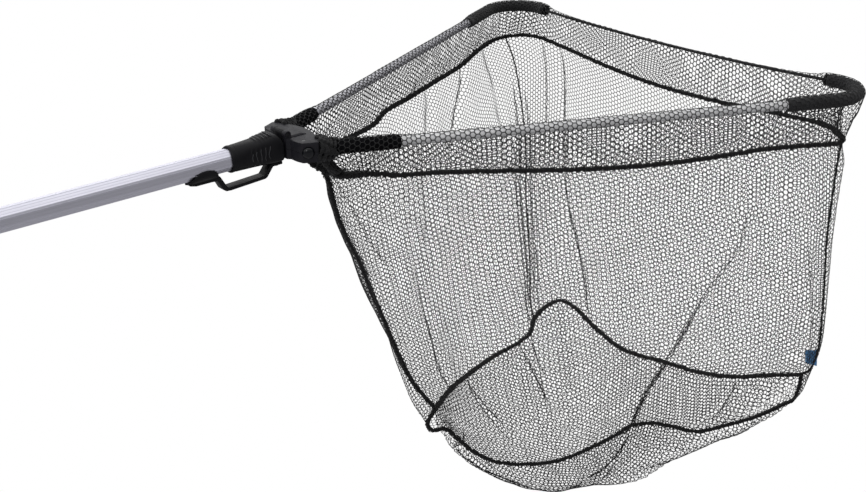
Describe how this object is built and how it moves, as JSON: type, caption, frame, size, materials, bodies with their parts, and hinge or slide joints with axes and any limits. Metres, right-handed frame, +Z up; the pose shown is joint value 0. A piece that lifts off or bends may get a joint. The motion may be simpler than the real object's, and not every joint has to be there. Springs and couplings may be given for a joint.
{
  "type": "landing net",
  "caption": "Folding landing net with a triangular head, sliding lock collar, belt clip, telescopic aluminium handle and black hexagonal mesh bag.",
  "frame": {"origin": "centre of the hand grip, on the handle axis", "axes": "+X along the handle towards the net head, +Y to the left arm, +Z up, with the bag hanging towards -Z"},
  "size_m": [1.4004, 0.6206, 0.5844],
  "materials": {
    "silver_tube": "silver anodised, drawn with fine lengthwise lines",
    "grey_tube": "silver-grey anodised",
    "black_plastic": "black moulded nylon, satin",
    "charcoal_plastic": "charcoal moulded nylon, satin",
    "gloss_black": "polished black",
    "grip_foam": "closed-cell foam rubber, matt",
    "arm_foam": "closed-cell foam rubber, matt",
    "steel": "plain stainless",
    "netting": "black knotless hexagonal netting, 6 mm mesh",
    "cord": "black braided cord",
    "tag_fabric": "blue woven tape"
  },
  "bodies": {
    "handle": {"rear_tube": "grey_tube", "hand_grip": "grip_foam", "end_cap": "black_plastic", "tube_lock_housing": "black_plastic"},
    "tube_button": {"tube_lock_button": "charcoal_plastic"},
    "front_section": {"front_tube": "silver_tube", "tube_guide": "black_plastic", "hinge_plug": "charcoal_plastic", "plug_rivet": "steel", "hinge_pin": "steel"},
    "collar": {"lock_collar": "black_plastic"},
    "clip": {"belt_clip": "black_plastic", "clip_screw": "steel"},
    "head": {"yoke_upper": "charcoal_plastic", "yoke_lower": "charcoal_plastic", "arm_pin_right": "steel", "arm_pin_left": "steel", "yoke_screw_right": "steel", "yoke_screw_left": "steel", "net_band": "netting", "net_panel_right": "netting", "net_panel_left": "netting", "net_panel_front": "netting", "net_bottom": "netting", "net_tag": "tag_fabric", "front_cord": "cord"},
    "button_right": {"arm_button_right": "gloss_black"},
    "button_left": {"arm_button_left": "gloss_black"},
    "arm_right": {"arm_root_right": "charcoal_plastic", "arm_tube_right": "silver_tube", "base_foam_right": "arm_foam", "tip_foam_right": "arm_foam", "tip_plug_right": "black_plastic"},
    "arm_left": {"arm_root_left": "charcoal_plastic", "arm_tube_left": "silver_tube", "base_foam_left": "arm_foam", "tip_foam_left": "arm_foam", "tip_plug_left": "black_plastic"}
  },
  "joints": [
    {"name": "handle_slide", "type": "slide", "parent": "handle", "child": "front_section", "axis": [1, 0, 0], "range_m": [-0.19, 0.14]},
    {"name": "tube_button_press", "type": "slide", "parent": "handle", "child": "tube_button", "axis": [0, 0, -1], "range_m": [0, 0.002], "stiffness_N_per_m": 600, "springref_m": -0.001},
    {"name": "collar_slide", "type": "slide", "parent": "front_section", "child": "collar", "axis": [1, 0, 0], "range_m": [-0.02, 0]},
    {"name": "clip_flex", "type": "hinge", "parent": "collar", "child": "clip", "pos_m": [0.65, 0, -0.0157], "axis": [0, -1, 0], "range_deg": [0, 5], "stiffness_Nm_per_rad": 8},
    {"name": "head_fold", "type": "hinge", "parent": "front_section", "child": "head", "pos_m": [0.661, 0, 0.0145], "axis": [0, -1, 0], "range_deg": [0, 170]},
    {"name": "arm_right_fold", "type": "hinge", "parent": "head", "child": "arm_right", "pos_m": [0.67, -0.0279, 0], "axis": [0, 0, 1], "range_deg": [0, 20], "deforming": ["front_cord"]},
    {"name": "arm_left_fold", "type": "hinge", "parent": "head", "child": "arm_left", "pos_m": [0.67, 0.0279, 0], "axis": [0, 0, 1], "range_deg": [-20, 0], "deforming": ["front_cord"]},
    {"name": "button_right_press", "type": "slide", "parent": "head", "child": "button_right", "axis": [0.4415, 0.8973, 0], "range_m": [0, 0.0018], "stiffness_N_per_m": 600, "springref_m": -0.001},
    {"name": "button_left_press", "type": "slide", "parent": "head", "child": "button_left", "axis": [0.4415, -0.8973, 0], "range_m": [0, 0.0018], "stiffness_N_per_m": 600, "springref_m": -0.001}
  ],
  "couplings": [
    {"joint": "arm_left_fold", "follows": "arm_right_fold", "ratio": -1}
  ]
}
